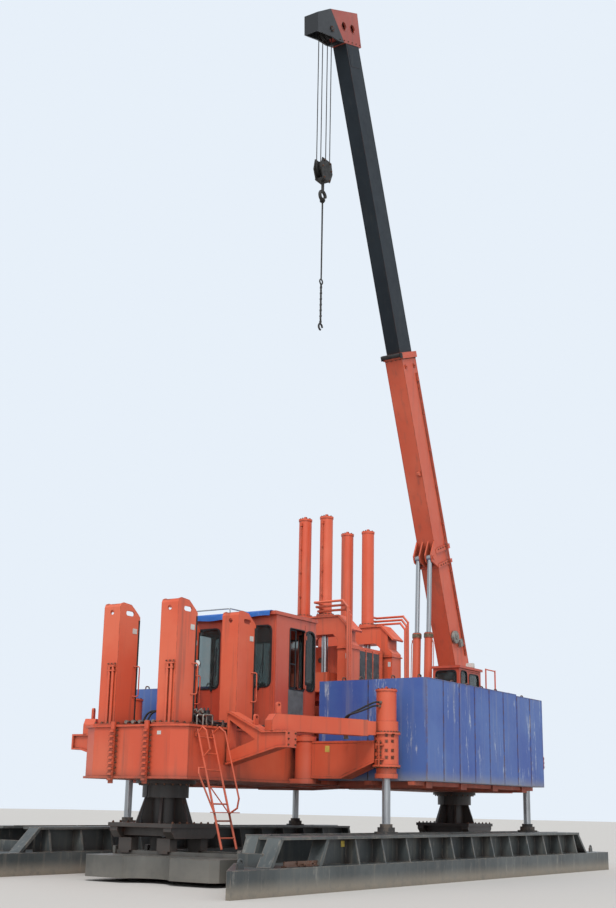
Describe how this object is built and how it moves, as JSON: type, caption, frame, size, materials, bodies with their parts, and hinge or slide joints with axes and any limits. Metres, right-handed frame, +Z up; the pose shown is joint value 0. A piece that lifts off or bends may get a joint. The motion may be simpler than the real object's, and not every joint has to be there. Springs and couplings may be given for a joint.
{
  "type": "walking static pile driver rig with service crane",
  "caption": "Walking press-in pile driving rig on long and short shoes, with a press tower over a central well, counterweight stacks, side pile columns, a cab and a telescopic crane.",
  "frame": {"origin": "On the ground, under the axis of the pile passage at the middle of the machine", "axes": "+X along the machine towards the crane end, +Y across it to the far side of the picture, +Z up"},
  "size_m": [16.4, 8, 21.7789],
  "materials": {
    "orange_paint": "faded orange-red paint with stains and rust",
    "blue_paint": "scratched blue paint with rust and bare patches",
    "dark_paint": "worn dark grey-green paint",
    "boom_paint": "dark grey paint",
    "rod_steel": "polished rod steel",
    "worn_steel": "worn bare steel",
    "cab_pane": "tinted window glass",
    "interior_plastic": "dark cab trim",
    "blue_sheet": "blue tarpaulin",
    "rope_steel": "greased wire rope"
  },
  "bodies": {
    "platform": {"platform_frame": "orange_paint", "side_brackets": "orange_paint", "side_pile_columns": "orange_paint", "guide_pipes": "orange_paint", "outrigger_arms": "orange_paint", "leg_cylinders": "orange_paint", "tie_beams": "orange_paint", "counterweights": "blue_paint", "ladder": "orange_paint", "deck_rails": "orange_paint", "cab_shell": "orange_paint", "cab_roof": "orange_paint", "cab_glass": "cab_pane", "cab_interior": "interior_plastic", "cab_tarpaulin": "blue_sheet", "press_portals": "orange_paint", "press_cylinders": "orange_paint", "power_pack": "orange_paint", "crane_pedestal": "orange_paint"},
    "cab_door": {"cab_door": "orange_paint"},
    "near_legs": {"near_legs": "rod_steel"},
    "near_long_shoe": {"near_long_shoe": "dark_paint"},
    "far_legs": {"far_legs": "rod_steel"},
    "far_long_shoe": {"far_long_shoe": "dark_paint"},
    "front_carriage": {"front_carriage": "dark_paint"},
    "front_short_shoe": {"front_short_shoe": "dark_paint"},
    "rear_carriage": {"rear_carriage": "dark_paint"},
    "rear_short_shoe": {"rear_short_shoe": "dark_paint"},
    "clamp": {"clamp_box": "orange_paint", "press_rods": "rod_steel"},
    "jaw_front": {"jaw_front": "worn_steel"},
    "jaw_rear": {"jaw_rear": "worn_steel"},
    "crane": {"crane_deck": "orange_paint", "crane_cab": "orange_paint", "crane_cab_glass": "cab_pane", "winch": "rope_steel"},
    "crane_door": {"crane_door": "orange_paint"},
    "boom": {"boom_base": "orange_paint"},
    "boom_section": {"boom_inner": "boom_paint", "boom_head": "orange_paint"},
    "hook": {"hoist_ropes": "rope_steel", "hook_block": "dark_paint", "slings": "rope_steel"},
    "luff_barrels": {"luff_barrels": "orange_paint"},
    "luff_rods": {"luff_rods": "rod_steel"}
  },
  "joints": [
    {"name": "near_lift", "type": "slide", "parent": "platform", "child": "near_legs", "axis": [0, 0, 1], "range_m": [0, 0.8]},
    {"name": "far_lift", "type": "slide", "parent": "platform", "child": "far_legs", "axis": [0, 0, 1], "range_m": [0, 0.8]},
    {"name": "near_walk", "type": "slide", "parent": "near_legs", "child": "near_long_shoe", "axis": [1, 0, 0], "range_m": [-0.3, 3.3]},
    {"name": "far_walk", "type": "slide", "parent": "far_legs", "child": "far_long_shoe", "axis": [1, 0, 0], "range_m": [-1.3, 2.3]},
    {"name": "front_turn", "type": "hinge", "parent": "platform", "child": "front_carriage", "pos_m": [-5.9, 0, 1.5], "axis": [0, 0, 1], "range_deg": [-8, 8]},
    {"name": "front_step", "type": "slide", "parent": "front_carriage", "child": "front_short_shoe", "axis": [0, 1, 0], "range_m": [0, 1.4]},
    {"name": "rear_turn", "type": "hinge", "parent": "platform", "child": "rear_carriage", "pos_m": [5.9, 0, 1.5], "axis": [0, 0, 1], "range_deg": [-8, 8]},
    {"name": "rear_step", "type": "slide", "parent": "rear_carriage", "child": "rear_short_shoe", "axis": [0, 1, 0], "range_m": [0, 1.4]},
    {"name": "press_stroke", "type": "slide", "parent": "platform", "child": "clamp", "axis": [0, 0, 1], "range_m": [-1.7, 0]},
    {"name": "jaw_front_grip", "type": "slide", "parent": "clamp", "child": "jaw_front", "axis": [1, 0, 0], "range_m": [0, 0.1]},
    {"name": "jaw_rear_grip", "type": "slide", "parent": "clamp", "child": "jaw_rear", "axis": [-1, 0, 0], "range_m": [0, 0.1]},
    {"name": "cab_door_swing", "type": "hinge", "parent": "platform", "child": "cab_door", "pos_m": [-4.176, 0.102, 3.8], "axis": [0, 0, -1], "range_deg": [0, 95]},
    {"name": "crane_slew", "type": "hinge", "parent": "platform", "child": "crane", "pos_m": [5.2, 0, 3.12], "axis": [0, 0, 1], "continuous": true},
    {"name": "crane_door_swing", "type": "hinge", "parent": "crane", "child": "crane_door", "pos_m": [4.892, -1.272, 4], "axis": [0, 0, 1], "range_deg": [0, 95]},
    {"name": "boom_luff", "type": "hinge", "parent": "crane", "child": "boom", "pos_m": [6.25, 0, 4.3], "axis": [0, 1, 0], "range_deg": [-29.5, 8.5]},
    {"name": "boom_extend", "type": "slide", "parent": "boom", "child": "boom_section", "axis": [0.3502, 0, -0.9367], "range_m": [0, 7.5]},
    {"name": "hook_hang", "type": "hinge", "parent": "boom_section", "child": "hook", "pos_m": [-0.88644, 0, 20.60321], "axis": [0, 1, 0], "range_deg": [-8.5, 29.5]},
    {"name": "luff_barrel_tilt", "type": "hinge", "parent": "crane", "child": "luff_barrels", "pos_m": [4.12, 0, 3.56], "axis": [0, 1, 0], "range_deg": [-25.8, 7.5]},
    {"name": "luff_rod_stroke", "type": "slide", "parent": "luff_barrels", "child": "luff_rods", "axis": [0.0477, 0, 0.9989], "range_m": [-1.13, 0.33]}
  ],
  "couplings": [
    {"joint": "jaw_rear_grip", "follows": "jaw_front_grip", "ratio": 1},
    {"joint": "hook_hang", "follows": "boom_luff", "ratio": -1},
    {"joint": "luff_barrel_tilt", "follows": "boom_luff", "ratio": 0.872},
    {"joint": "luff_rod_stroke", "follows": "boom_luff", "m_per_rad": 2.185}
  ]
}
